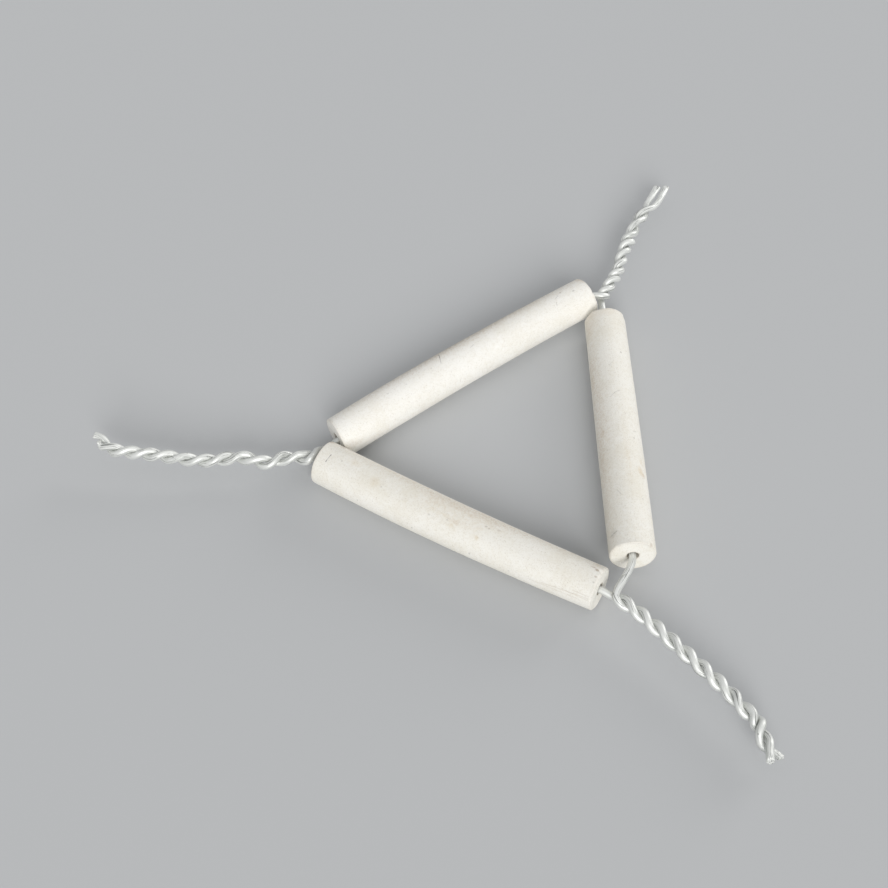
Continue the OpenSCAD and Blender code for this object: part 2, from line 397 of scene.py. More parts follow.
def strand(tail, side):
    """One wire of a tail: spine +- lay (cos a across + sin a above), where a makes a half turn over each lap.

    The count of half turns at a place is the mean of the counts just around it, so that laps blend. A smooth
    curve leads on from the strand's end through the points of its tip.
    """
    points, s = evenly(smooth_curve(tail["spine"]), WIRE_STEP)
    _, across, above = moving_frame(points)
    whole = s[-1]
    laps = tail["laps"]
    ends = np.cumsum([-laps[0], laps[0], *laps])
    counts = [*range(-1, len(laps)), tail["half_turns"]]
    turns = np.mean([np.interp(s + shift, ends, counts) for shift in LAP_BLEND], axis=0)
    angle = np.radians(tail["turn"] + 180 * tail["hand"] * turns)[:, None]
    extra, middle, width = tail["loose"]
    tip, start, done = tail["spread"]
    lay = LAY_RADIUS + extra * np.exp(-(((s - middle) / width) ** 2))
    lay = lay + (tip - LAY_RADIUS) * ease((start - (whole - s)) / (start - done))
    turned = points + side * lay[:, None] * (np.cos(angle) * across + np.sin(angle) * above)
    turned = turned[s <= whole - tail["cuts"][side]]
    before, join = turned[-1 - 2 * TIP_BLEND], turned[-1 - TIP_BLEND]
    last = smooth_curve([before, join, turned[-1], *tail["tips"][side]])[CURVE_STEPS:]
    return np.vstack([turned[: -1 - TIP_BLEND], last])


def wire_end(mouth, away, tail, side):
    """From the bore's mouth a cubic, whose end tangents are pull times the distance, leads into the strand.

    Where the tail gives a lead, a smooth curve through its points does so and joins the strand further on.
    """
    laid = strand(tail, side)
    if side in tail["leads"]:
        join, lead = tail["leads"][side]
        laid = laid[round(join / WIRE_STEP) :]
        curve = smooth_curve([mouth - away * 1.5, mouth, mouth + away * 0.25, *lead, laid[0], laid[12]])
        return np.vstack([curve[CURVE_STEPS : -CURVE_STEPS - 1], laid])
    mouth_pull, strand_pull = tail["pulls"][side]
    begin = mouth + away * STRAIGHT_EXIT
    reach = np.linalg.norm(laid[0] - begin)
    first = away * reach * mouth_pull
    last = unit(laid[3] - laid[0]) * reach * strand_pull
    t = np.linspace(0, 1, 40, endpoint=False)[:, None]
    lead = (
        (2 * t**3 - 3 * t**2 + 1) * begin
        + (t**3 - 2 * t**2 + t) * first
        + (3 * t**2 - 2 * t**3) * laid[0]
        + (t**3 - t**2) * last
    )
    return np.vstack([lead, laid])


def bore_line(line, shape, rests):
    """The wire's stretch in the bore, on the turning axis halfway, so that a bowed tube can turn on it.

    A point is on_axis(x) + w (shift + rest), where w = (2 t - 1)^2 and t = x / length. Shift leads from the
    axis to the tube's own middle line at its ends, and rest runs from one end's (out, up) to the other's.
    """
    start, axis, length = line
    out, up = tube_directions(axis)
    x = np.linspace(0, length, 60)
    t = (x / length)[:, None]
    on_axis = start + x[:, None] * axis
    ends = bent_centre(line, shape, np.array([0.0, length])) - np.array([start, start + length * axis])
    (out0, up0), (out1, up1) = rests
    rest = out * (out0 + (out1 - out0) * t) + up * (up0 + (up1 - up0) * t)
    return on_axis + (2 * t - 1) ** 2 * (ends[0] + (ends[1] - ends[0]) * t + rest)


def zinc_wire(where, shape, rests, tails, seed, tips, nicks):
    """A wire swept along its path: a point is path(s) + R (1 - hollows) (cos a across + sin a above).

    Near a tip the section is squeezed as side cutters leave it: over the last reach millimetres one width
    comes down to pinch and the other grows a little, and the upper side draws back by slope times its height.
    A few rings then close the cut face.
    """
    (first_tail, first_side), (last_tail, last_side) = tails
    inside = bore_line(tube_line(where), shape, rests)
    path = np.vstack([
        wire_end(inside[0], unit(inside[0] - inside[1]), TAILS[first_tail], first_side)[::-1],
        inside[1:-1],
        wire_end(inside[-1], unit(inside[-1] - inside[-2]), TAILS[last_tail], last_side),
    ])
    path, s = evenly(path, WIRE_STEP)
    ahead, across, above = moving_frame(path)
    angle = np.linspace(0, 2 * np.pi, WIRE_SIDES, endpoint=False)[None, :]
    s, whole = s[:, None], s[-1]
    swell = 1 - WIRE_HOLLOWS * np.clip(0.5 + waves(seed, 12, 0.4, (s, 1.6, False), (angle, 3, True)), 0, 1)
    for at, degrees, half_length, half_width, depth in nicks:
        away = np.angle(np.exp(1j * (angle - math.radians(degrees)))) * WIRE_RADIUS / half_width
        along = (s - (at if at >= 0 else whole + at)) / half_length
        swell = swell - depth / WIRE_RADIUS * np.exp(-(away ** 2) - along ** 2)
    radius = WIRE_RADIUS * swell
    wide, narrow = np.cos(angle) * radius, np.sin(angle) * radius
    for distance, (lean, pinch, reach, _, _) in zip((s, whole - s), tips):
        squeeze = ease(1 - distance / reach)
        lean = math.radians(lean)
        a = wide * math.cos(lean) + narrow * math.sin(lean)
        b = narrow * math.cos(lean) - wide * math.sin(lean)
        a = a * (1 + (1 - pinch) * 0.35 * squeeze)
        b = b * (1 - (1 - pinch) * squeeze)
        wide, narrow = a * math.cos(lean) - b * math.sin(lean), b * math.cos(lean) + a * math.sin(lean)
    body = path[:, None, :] + wide[..., None] * across[:, None, :] + narrow[..., None] * above[:, None, :]
    for distance, way, tip in ((s, -1, tips[0]), (whole - s, 1, tips[1])):
        back = tip[4] * way * ease(1 - distance / (tip[2] + 0.4)) * narrow
        body = body - back[..., None] * ahead[:, None, :]
    follow = np.stack([s + seed + 0 * angle, wide, narrow], axis=-1)
    caps = []
    for row, way, tip in ((0, -1, tips[0]), (-1, 1, tips[1])):
        middle, rough = path[row], tip[3]
        shrink = np.array([0.94, 0.80, 0.5])[:, None]
        proud = np.array([0.05, 0.09, 0.10])[:, None]
        bumps = proud + rough * shrink * waves(seed + 5 + row, 6, 0.5, (angle, 5, True), (shrink, 6, False))
        bumps = bumps * way
        ring = middle + (body[row] - middle)[None] * shrink[..., None] + bumps[..., None] * ahead[row]
        marks = np.stack([follow[row, 0, 0] + bumps, wide[row] * shrink, narrow[row] * shrink], axis=-1)
        caps.append((ring[::way], marks[::way], middle + ahead[row] * way * 0.1))
    grid = np.concatenate([caps[0][0], body, caps[1][0]])
    follow = np.concatenate([caps[0][1], follow, caps[1][1]])
    rows, columns = grid.shape[:2]
    count = rows * columns
    places = np.vstack([grid.reshape(-1, 3), caps[0][2], caps[1][2]])
    follow = np.vstack([follow.reshape(-1, 3), [seed, 0, 0], [seed + whole, 0, 0]])
    j = np.arange(columns)
    side = (j + 1) % columns
    base = (rows - 1) * columns
    fans = np.vstack([
        np.stack([np.full(columns, count), side, j], axis=1),
        np.stack([np.full(columns, count + 1), base + j, base + side], axis=1),
    ])
    wire = piece_mesh(f"{where}_zinc_wire", places, grid_faces(rows, columns, False), fans, follow)
    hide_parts(f"wire_{where}")
    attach(wire, "wires")
    return wire


# ---------------------------------------------------------------- node trees
class Tree:
    """Short calls that build a node tree. A value is a number, colour or vector, or another node's output."""

    def __init__(self, tree):
        self.tree = tree

    def feed(self, socket, value):
        """Links an output to the socket, or sets the socket to a plain value."""
        if isinstance(value, bpy.types.NodeSocket):
            self.tree.links.new(value, socket)
        else:
            socket.default_value = value

    def add(self, kind, inputs=None, **settings):
        """A new node: its settings first, then what feeds its inputs."""
        node = self.tree.nodes.new(kind)
        for key, value in settings.items():
            setattr(node, key, value)
        for key, value in (inputs or {}).items():
            self.feed(node.inputs[key], value)
        return node

    def math(self, operation, *values, clamp=False):
        """The number that an operation gives from its values."""
        inputs = dict(enumerate(values))
        return self.add("ShaderNodeMath", inputs, operation=operation, use_clamp=clamp).outputs[0]

    def vector(self, operation, *values, output=0):
        """The vector that an operation gives, or its number where output is 1."""
        inputs = dict(enumerate(values))
        return self.add("ShaderNodeVectorMath", inputs, operation=operation).outputs[output]

    def noise(self, place, scale, detail=3.0, roughness=0.5, stretch=None):
        """Cloudy noise; a low stretch along one direction draws it out into lines along it."""
        if stretch:
            place = self.vector("MULTIPLY", place, stretch)
        inputs = {"Vector": place, "Scale": scale, "Detail": detail, "Roughness": roughness}
        return self.add("ShaderNodeTexNoise", inputs).outputs["Fac"]

    def between(self, value, low, high):
        """0 below low, 1 above high, and smooth between; high may be the lower of the two."""
        inputs = {"Value": value, "From Min": low, "From Max": high}
        return self.add("ShaderNodeMapRange", inputs, interpolation_type="SMOOTHSTEP").outputs["Result"]

    def mix(self, factor, first, second):
        """The first colour, or the second where the factor is 1. The numbers are the colour sockets."""
        return self.add("ShaderNodeMix", {"Factor": factor, 6: first, 7: second}, data_type="RGBA").outputs[2]

    def tint(self, colour, mask, strength, mark_colour):
        """The colour, mixed towards a mark's colour through a mask at a strength, for stains and for painted
        shade.
        """
        return self.mix(self.math("MULTIPLY", mask, strength), colour, mark_colour)

    def group(self, group, inputs):
        """A group placed in the tree with its own values."""
        return self.add("ShaderNodeGroup", inputs, node_tree=group)

    def specks(self, group, place, per_millimetre, share, size):
        """The mask of a speck group."""
        inputs = {"Place": place, "Per Millimetre": per_millimetre, "Share": share, "Size": size}
        return self.group(group, inputs).outputs["Mask"]


def new_group(name, inputs, outputs):
    """An empty shader node group, its tree, and the sockets that it is given and that it puts out."""
    group = bpy.data.node_groups.new(name, "ShaderNodeTree")
    for label, kind, default in inputs:
        socket = group.interface.new_socket(label, in_out="INPUT", socket_type=kind)
        if default is not None:
            socket.default_value = default
    for label, kind in outputs:
        group.interface.new_socket(label, in_out="OUTPUT", socket_type=kind)
    tree = Tree(group)
    return group, tree, group.nodes.new("NodeGroupInput").outputs, group.nodes.new("NodeGroupOutput").inputs


def spot_group():
    """Mask of a blotch: strongest in its middle, 0 past its reach, ragged at its edge, broken by mottles."""
    group, tree, given, put = new_group(
        "mottled_blotch",
        [
            ("Place", "NodeSocketVector", None),
            ("Middle", "NodeSocketVector", None),
            ("Reach", "NodeSocketVector", (1, 1, 1)),
            ("Ragged", "NodeSocketFloat", 0.3),
            ("Grain", "NodeSocketFloat", 1.5),
            ("Broken", "NodeSocketFloat", 0.5),
        ],
        [("Mask", "NodeSocketFloat")],
    )
    offset = tree.vector("SUBTRACT", given["Place"], given["Middle"])
    far = tree.vector("LENGTH", tree.vector("DIVIDE", offset, given["Reach"]), output=1)
    noise = tree.math("SUBTRACT", tree.noise(given["Place"], given["Grain"], 4, 0.6), 0.5)
    far = tree.math("MULTIPLY_ADD", noise, given["Ragged"], far)
    mottle = tree.noise(given["Place"], tree.math("MULTIPLY", given["Grain"], 2.3), 4, 0.7)
    mottle = tree.between(mottle, 0.44, 0.60)
    gaps = tree.math("MULTIPLY", given["Broken"], tree.math("SUBTRACT", 1.0, mottle))
    kept = tree.math("SUBTRACT", 1.0, gaps)
    tree.feed(put["Mask"], tree.math("MULTIPLY", tree.between(far, 1.0, 0.2), kept))
    return group


def line_group():
    """Mask of a fine line from one point to another: 1 on it, 0 past half its width, and ragged along it."""
    group, tree, given, put = new_group(
        "fine_line",
        [
            ("Place", "NodeSocketVector", None),
            ("Start", "NodeSocketVector", None),
            ("Finish", "NodeSocketVector", None),
            ("Width", "NodeSocketFloat", 0.2),
            ("Ragged", "NodeSocketFloat", 0.15),
        ],
        [("Mask", "NodeSocketFloat")],
    )
    span = tree.vector("SUBTRACT", given["Finish"], given["Start"])
    offset = tree.vector("SUBTRACT", given["Place"], given["Start"])
    share = tree.math(
        "DIVIDE",
        tree.vector("DOT_PRODUCT", offset, span, output=1),
        tree.vector("DOT_PRODUCT", span, span, output=1),
        clamp=True,
    )
    nearest = tree.add("ShaderNodeVectorMath", {0: span, "Scale": share}, operation="SCALE").outputs[0]
    far = tree.vector("LENGTH", tree.vector("SUBTRACT", offset, nearest), output=1)
    noise = tree.math("SUBTRACT", tree.noise(given["Place"], 2.5, 3, 0.6), 0.5)
    far = tree.math("MULTIPLY_ADD", noise, given["Ragged"], far)
    half = tree.math("MULTIPLY", given["Width"], 0.5)
    tree.feed(put["Mask"], tree.between(far, half, tree.math("MULTIPLY", half, 0.3)))
    return group


def speck_group():
    """Mask of fine scattered specks, with the share of the surface that carries them and their size."""
    group, tree, given, put = new_group(
        "fine_specks",
        [
            ("Place", "NodeSocketVector", None),
            ("Per Millimetre", "NodeSocketFloat", 1.0),
            ("Share", "NodeSocketFloat", 0.05),
            ("Size", "NodeSocketFloat", 0.2),
        ],
        [("Mask", "NodeSocketFloat")],
    )
    cells = tree.add("ShaderNodeTexVoronoi", {"Vector": given["Place"], "Scale": given["Per Millimetre"]})
    chance = tree.add("ShaderNodeSeparateColor", {0: cells.outputs["Color"]}).outputs[0]
    chosen = tree.math("LESS_THAN", chance, given["Share"])
    core = tree.between(cells.outputs["Distance"], given["Size"], tree.math("MULTIPLY", given["Size"], 0.4))
    tree.feed(put["Mask"], tree.math("MULTIPLY", chosen, core))
    return group


def clay_group(specks):
    """Unglazed clay: cloudy cream colour, faint lines along it from its die, sandy grain, pits and grit, and
    painted shade inside the bore.
    """
    group, tree, given, put = new_group(
        "bisque_clay",
        [
            ("Place", "NodeSocketVector", None),
            ("Length", "NodeSocketFloat", 60.0),
            ("Pale", "NodeSocketColor", (0.9, 0.88, 0.83, 1)),
            ("Deep", "NodeSocketColor", (0.8, 0.77, 0.7, 1)),
            ("Grime_And_Shade", "NodeSocketColor", (0.40, 0.33, 0.25, 1)),
        ],
        [("Color", "NodeSocketColor"), ("Roughness", "NodeSocketFloat"), ("Height", "NodeSocketFloat")],
    )
    place = given["Place"]
    cloud = tree.noise(place, 0.16, 5, 0.6)
    mottle = tree.noise(place, 1.1, 5, 0.62)
    lines = tree.noise(place, 1.0, 4, 0.6, stretch=(0.035, 1.5, 1.5))
    sand = tree.noise(place, 3.4, 4, 0.75)
    grain = tree.noise(place, 8.0, 3, 0.7)
    tone = tree.math("ADD", tree.math("MULTIPLY", cloud, 0.45), tree.math("MULTIPLY", mottle, 0.3))
    tone = tree.math("ADD", tone, tree.math("MULTIPLY", sand, 0.3))
    colour = tree.mix(tree.between(tone, 0.42, 0.66), given["Pale"], given["Deep"])
    dust = tree.specks(specks, place, 0.9, 0.10, 0.13)
    grit = tree.specks(specks, place, 3.2, 0.25, 0.34)
    pits = tree.specks(specks, place, 2.1, 0.30, 0.26)
    sandy = tree.between(tree.math("ADD", sand, tree.math("MULTIPLY", grain, 0.4)), 0.74, 0.92)
    colour = tree.tint(colour, dust, 0.34, given["Grime_And_Shade"])
    colour = tree.tint(colour, grit, 0.24, given["Grime_And_Shade"])
    colour = tree.tint(colour, sandy, 0.26, given["Grime_And_Shade"])
    split = tree.add("ShaderNodeSeparateXYZ", {0: place}).outputs
    round_far = tree.vector("LENGTH", tree.vector("MULTIPLY", place, (0, 1, 1)), output=1)
    end_near = tree.math("MINIMUM", split[0], tree.math("SUBTRACT", given["Length"], split[0]))
    skin_far = tree.math("SUBTRACT", TUBE_RADIUS, round_far)
    rim_far = tree.math("ADD", tree.math("ABSOLUTE", end_near), skin_far)
    rim = tree.between(tree.math("MULTIPLY_ADD", mottle, 0.9, rim_far), 1.15, 0.5)
    colour = tree.tint(colour, rim, 0.16, given["Grime_And_Shade"])
    # painted shade: the bore and the edge of its mouth are darkened towards the dirt colour, standing in for
    # the shade inside the hole
    bore = tree.between(round_far, BORE_RADIUS + 0.35, BORE_RADIUS - 0.02)
    colour = tree.tint(colour, bore, 0.45, given["Grime_And_Shade"])
    height = tree.math("ADD", tree.math("MULTIPLY", lines, 0.35), tree.math("MULTIPLY", grain, 0.25))
    height = tree.math("ADD", height, tree.math("MULTIPLY", sand, 0.55))
    height = tree.math("ADD", height, tree.math("MULTIPLY", mottle, 0.3))
    height = tree.math("SUBTRACT", height, tree.math("MULTIPLY", pits, 0.35))
    tree.feed(put["Color"], colour)
    tree.feed(put["Roughness"], tree.math("MULTIPLY_ADD", mottle, 0.2, 0.76))
    tree.feed(put["Height"], height)
    return group


def zinc_group(specks):
    """Dull zinc on drawn wire: draw lines along it, clouds of pale oxide, and dark specks."""
    group, tree, given, put = new_group(
        "dull_zinc",
        [
            ("Place", "NodeSocketVector", None),
            ("Bright", "NodeSocketColor", (0.77, 0.78, 0.755, 1)),
            ("Dull", "NodeSocketColor", (0.38, 0.40, 0.375, 1)),
            ("Dark", "NodeSocketColor", (0.05, 0.053, 0.05, 1)),
        ],
        [
            ("Color", "NodeSocketColor"),
            ("Metal", "NodeSocketFloat"),
            ("Roughness", "NodeSocketFloat"),
            ("Height", "NodeSocketFloat"),
        ],
    )
    place = given["Place"]
    lines = tree.noise(place, 1.0, 3, 0.7, stretch=(0.09, 3.4, 3.4))
    cloud = tree.noise(place, 0.55, 4, 0.6, stretch=(0.5, 1.0, 1.0))
    frost = tree.noise(place, 3.0, 4, 0.6)
    grain = tree.noise(place, 9.0, 2, 0.5)
    shade = tree.math("ADD", tree.math("MULTIPLY", lines, 0.7), tree.math("MULTIPLY", cloud, 0.3))
    colour = tree.mix(tree.between(shade, 0.49, 0.66), given["Bright"], given["Dull"])
    scores = tree.noise(place, 1.0, 2, 0.6, stretch=(0.22, 5.2, 5.2))
    scores = tree.between(tree.math("MULTIPLY_ADD", cloud, 0.35, scores), 0.77, 0.86)
    spots = tree.specks(specks, place, 0.8, 0.14, 0.18)
    nicks = tree.between(tree.noise(place, 1.3, 5, 0.7, stretch=(0.6, 1.4, 1.4)), 0.68, 0.75)
    colour = tree.tint(colour, scores, 0.72, given["Dark"])
    colour = tree.tint(colour, spots, 0.5, given["Dark"])
    colour = tree.tint(colour, nicks, 0.7, given["Dark"])
    oxide = tree.between(tree.math("ADD", cloud, tree.math("MULTIPLY", frost, 0.4)), 0.62, 0.80)
    tree.feed(put["Color"], colour)
    tree.feed(put["Metal"], tree.math("MULTIPLY_ADD", oxide, -0.25, 0.50))
    tree.feed(put["Roughness"], tree.math("MULTIPLY_ADD", frost, 0.22, 0.37))
    height = tree.math("ADD", tree.math("MULTIPLY", lines, 0.7), tree.math("MULTIPLY", grain, 0.15))
    height = tree.math("SUBTRACT", height, tree.math("MULTIPLY", nicks, 0.5))
    height = tree.math("SUBTRACT", height, tree.math("MULTIPLY", scores, 0.4))
    tree.feed(put["Height"], height)
    return group


SPECKS = speck_group()
SPOT = spot_group()
LINE = line_group()
CLAY = clay_group(SPECKS)
ZINC = zinc_group(SPECKS)

STAIN_AND_SHADE_TONES = {
    "straw": (0.66, 0.50, 0.27, 1),
    "tan": (0.60, 0.45, 0.30, 1),
    "brown": (0.33, 0.22, 0.14, 1),
    "grey": (0.36, 0.34, 0.31, 1),
    "soot": (0.07, 0.06, 0.055, 1),
    # this colour also paints shade along the left tube's side that faces away from the lamps
    "grime_and_shade": (0.40, 0.35, 0.285, 1),
}


def on_tube(x, degrees):
    """A point on a tube's wall, from its length along the tube and its angle from the top, outwards."""
    turn = math.radians(degrees)
    return (x, TUBE_RADIUS * math.sin(turn), TUBE_RADIUS * math.cos(turn))


def new_material(name):
    """A new material, its tree, its Principled shader, and the carried vector as the place on the piece."""
    material = bpy.data.materials.new(name)
    material.use_nodes = True
    tree = Tree(material.node_tree)
    shader = material.node_tree.nodes["Principled BSDF"]
    place = tree.add("ShaderNodeAttribute", attribute_name="follow").outputs["Vector"]
    return material, tree, shader, place


def clay_material(name, length, spots, lines, pale, deep):
    """Clay with a tube's own stains and, in some of its spots, painted shade.

    A spot is x, angle, reach along, reach round, colour, strength, ragged, grain and broken. A line is x and
    angle at its start, the same at its end, width, colour and strength.
    """
    material, tree, shader, place = new_material(name)
    clay = tree.group(CLAY, {"Place": place, "Length": length, "Pale": (*pale, 1), "Deep": (*deep, 1)})
    colour, height = clay.outputs["Color"], clay.outputs["Height"]
    for x, degrees, reach, across, mark_colour, strength, ragged, grain, broken in spots:
        inputs = {"Place": place, "Middle": on_tube(x, degrees), "Reach": (reach, across, across)}
        inputs.update({"Ragged": ragged, "Grain": grain, "Broken": broken})
        mask = tree.group(SPOT, inputs).outputs["Mask"]
        colour = tree.tint(colour, mask, strength, STAIN_AND_SHADE_TONES[mark_colour])
    for x0, degrees0, x1, degrees1, width, mark_colour, strength in lines:
        inputs = {"Place": place, "Start": on_tube(x0, degrees0), "Finish": on_tube(x1, degrees1)}
        inputs["Width"] = width
        mask = tree.group(LINE, inputs).outputs["Mask"]
        colour = tree.tint(colour, mask, strength, STAIN_AND_SHADE_TONES[mark_colour])
        height = tree.math("SUBTRACT", height, tree.math("MULTIPLY", mask, 0.5))
    tree.feed(shader.inputs["Base Color"], colour)
    tree.feed(shader.inputs["Roughness"], clay.outputs["Roughness"])
    shader.inputs["Specular IOR Level"].default_value = 0.3
    bump = tree.add("ShaderNodeBump", {"Height": height, "Strength": 0.7, "Distance": 0.14 * MM})
    tree.feed(shader.inputs["Normal"], bump.outputs[0])
    return material


def zinc_material():
    """Dull zinc on drawn wire, part metal and part oxide."""
    material, tree, shader, place = new_material("zinc_wire")
    zinc = tree.group(ZINC, {"Place": place})
    tree.feed(shader.inputs["Base Color"], zinc.outputs["Color"])
    tree.feed(shader.inputs["Metallic"], zinc.outputs["Metal"])
    tree.feed(shader.inputs["Roughness"], zinc.outputs["Roughness"])
    inputs = {"Height": zinc.outputs["Height"], "Strength": 0.6, "Distance": 0.06 * MM}
    bump = tree.add("ShaderNodeBump", inputs)
    tree.feed(shader.inputs["Normal"], bump.outputs[0])
    return material


# ---------------------------------------------------------------- the tubes, their stains and their painted shade
FRONT_SPOTS = [
    # The first, long band runs the whole length along the top inner side, which faces away from the lamps:
    # real tan mottling, and painted shade that darkens that side.
    (30.0, -40, 40.0, 2.6, "tan", 0.34, 1.4, 1.3, 0.9),
    (30.5, 0, 13.0, 3.6, "straw", 0.16, 1.2, 0.6, 0.7),
    (34.0, -28, 12.0, 2.6, "tan", 0.22, 1.4, 0.9, 0.9),
    (26.0, -14, 6.0, 2.4, "tan", 0.16, 1.4, 1.0, 0.9),
    (31.8, 20, 1.3, 0.8, "tan", 0.34, 1.6, 2.0, 0.5),
    (31.2, 32, 0.8, 0.6, "straw", 0.24, 0.8, 2.0, 0.3),
    (36.6, 33, 0.8, 0.6, "straw", 0.34, 0.8, 2.0, 0.3),
    (33.8, -13, 1.1, 0.8, "tan", 0.22, 0.8, 2.0, 0.6),
    (13.5, 15, 1.8, 1.4, "straw", 0.22, 0.9, 1.4, 0.4),
    (7.8, -7, 2.0, 1.0, "straw", 0.22, 1.0, 1.4, 0.5),
    (3.0, -22, 3.0, 1.6, "grey", 0.10, 1.2, 1.4, 0.7),
    (37.2, -3, 0.32, 0.3, "grey", 0.40, 0.5, 2.0, 0.0),
    (37.9, -1, 0.32, 0.3, "brown", 0.35, 0.5, 2.0, 0.0),
    (39.7, -8, 0.50, 0.4, "brown", 0.28, 0.6, 2.0, 0.2),
    (5.3, 4, 0.32, 0.28, "grey", 0.28, 0.5, 2.0, 0.0),
    (11.1, 82, 0.28, 0.32, "grey", 0.36, 0.5, 2.0, 0.0),
    (23.5, 87, 0.28, 0.34, "grey", 0.50, 0.5, 2.0, 0.0),
    (26.3, 30, 0.50, 0.25, "grey", 0.28, 0.5, 2.0, 0.0),
    (30.0, 23, 0.28, 0.25, "grey", 0.30, 0.5, 2.0, 0.0),
    (15.2, 19, 0.32, 0.28, "grey", 0.24, 0.5, 2.0, 0.0),
    (36.0, 84, 0.28, 0.45, "grey", 0.38, 0.5, 2.0, 0.0),
    (44.2, 83, 0.32, 0.26, "grey", 0.34, 0.5, 2.0, 0.0),
    # These three brown marks lie along the top edge at the start, where the left tube's end comes close
    # behind: painted shade between the two tubes.
    (0.2, -44, 1.3, 1.1, "brown", 0.40, 1.0, 1.5, 0.4),
    (2.9, -46, 1.0, 0.8, "brown", 0.35, 1.0, 2.0, 0.4),
    (4.8, -66, 2.2, 1.4, "brown", 0.50, 1.0, 1.5, 0.4),
    (59.1, -18, 0.60, 0.45, "brown", 0.70, 0.6, 2.5, 0.2),
    (58.3, -22, 0.65, 0.32, "brown", 0.45, 0.6, 2.5, 0.3),
    (58.5, -34, 1.6, 1.5, "tan", 0.30, 1.0, 1.5, 0.6),
    (59.5, 3, 0.42, 0.32, "brown", 0.50, 0.6, 2.5, 0.2),
    (59.6, 19, 0.35, 0.30, "grey", 0.35, 0.6, 2.5, 0.0),
]
FRONT_LINES = [
    (2.4, 24, 2.6, 2, 0.28, "soot", 0.60),
    (50.6, 74, 59.4, 64, 0.24, "tan", 0.17),
    (54.6, 67, 59.8, 70, 0.24, "tan", 0.17),
    (48.0, 80, 58.0, 78, 0.22, "tan", 0.14),
    (56.5, 58, 59.6, 58, 0.22, "tan", 0.16),
]
RIGHT_SPOTS = [
    # The first, long band runs the whole length along the inner side, which faces away from the lamps: real
    # tan mottling, and painted shade that darkens that side.
    (30.0, -62, 42.0, 3.0, "tan", 0.28, 1.3, 1.2, 0.9),
    (3.2, -50, 1.5, 1.3, "grey", 0.30, 0.9, 1.6, 0.5),
    (26.5, -50, 1.7, 0.8, "tan", 0.30, 0.9, 1.5, 0.4),
    (22.0, -62, 5.5, 1.0, "tan", 0.22, 1.2, 1.2, 0.6),
    (41.8, -70, 6.0, 1.2, "tan", 0.24, 1.2, 1.2, 0.6),
    (31.0, -40, 16.0, 2.6, "tan", 0.12, 1.4, 0.8, 0.9),
    (56.0, -55, 5.0, 3.0, "tan", 0.22, 1.0, 0.8, 0.5),
    (57.6, -10, 1.6, 5.5, "tan", 0.18, 1.0, 1.0, 0.5),
    (16.6, 44, 1.6, 0.9, "straw", 0.50, 0.7, 2.2, 0.5),
    (16.0, 54, 0.8, 0.6, "tan", 0.45, 0.6, 2.5, 0.2),
    (19.0, 50, 1.2, 0.6, "straw", 0.25, 1.0, 2.0, 0.5),
    (46.4, 30, 0.32, 0.30, "grey", 0.50, 0.4, 2.0, 0.0),
    (24.4, 36, 0.30, 0.30, "grey", 0.36, 0.4, 2.0, 0.0),
    (10.1, 39, 0.30, 0.28, "grey", 0.32, 0.4, 2.0, 0.0),
    (0.4, 50, 0.60, 0.55, "brown", 0.40, 0.6, 2.5, 0.3),
    (21.0, 12, 12.0, 1.0, "straw", 0.14, 1.5, 1.4, 0.8),
]
RIGHT_LINES = [
    (34.4, -15, 35.5, -1, 0.18, "grey", 0.36),
    (35.5, -1, 36.0, 13, 0.16, "grey", 0.28),
    (12.1, -25, 10.9, -16, 0.16, "grey", 0.26),
    (25.9, 35, 26.3, 46, 0.16, "grey", 0.28),
    (3.0, -59, 3.3, -38, 0.34, "grey", 0.42),
    (42.6, -8, 44.0, 6, 0.14, "grey", 0.18),
    (0.0, -104, 0.0, -118, 0.30, "tan", 0.40),
]
LEFT_SPOTS = [
    # These three long bands run the whole length along the upper outer side, which faces away from the lamps:
    # real dirt, and painted shade that darkens that side.
    (30.0, 70, 40.0, 3.6, "grime_and_shade", 0.62, 0.9, 1.2, 0.45),
    (30.0, 52, 42.0, 3.0, "grime_and_shade", 0.56, 0.9, 1.2, 0.75),
    (30.0, 30, 42.0, 2.4, "tan", 0.36, 1.5, 1.8, 0.95),
    (59.5, -75, 3.5, 1.6, "tan", 0.22, 0.9, 1.0, 0.6),
    (55.0, -92, 4.5, 1.0, "tan", 0.16, 0.9, 1.0, 0.6),
    (0.3, 28, 1.2, 2.2, "tan", 0.40, 0.8, 1.5, 0.4),
    (5.8, 12, 0.32, 0.30, "brown", 0.45, 0.4, 2.0, 0.0),
    (3.4, -5, 0.45, 0.28, "grey", 0.40, 0.4, 2.0, 0.0),
    (44.3, -7, 0.30, 0.26, "grey", 0.26, 0.4, 2.0, 0.0),
    (48.5, -3, 0.30, 0.26, "grey", 0.26, 0.4, 2.0, 0.0),
    (38.1, -3, 0.26, 0.26, "grey", 0.26, 0.4, 2.0, 0.0),
]
LEFT_LINES = [
    (34.7, 33, 35.2, 14, 0.22, "soot", 0.70),
    (35.2, 14, 35.8, -5, 0.18, "soot", 0.55),
    (8.2, -22, 7.9, -10, 0.16, "grey", 0.40),
    (7.5, 0, 6.6, 6, 0.18, "grey", 0.45),
    (28.9, -8, 27.8, -4, 0.16, "grey", 0.36),
    (34.0, -80, 33.8, -72, 0.14, "grey", 0.22),
]
CREAM = ((0.945, 0.925, 0.865), (0.875, 0.84, 0.75))
WHITE = ((0.95, 0.935, 0.89), (0.89, 0.862, 0.79))

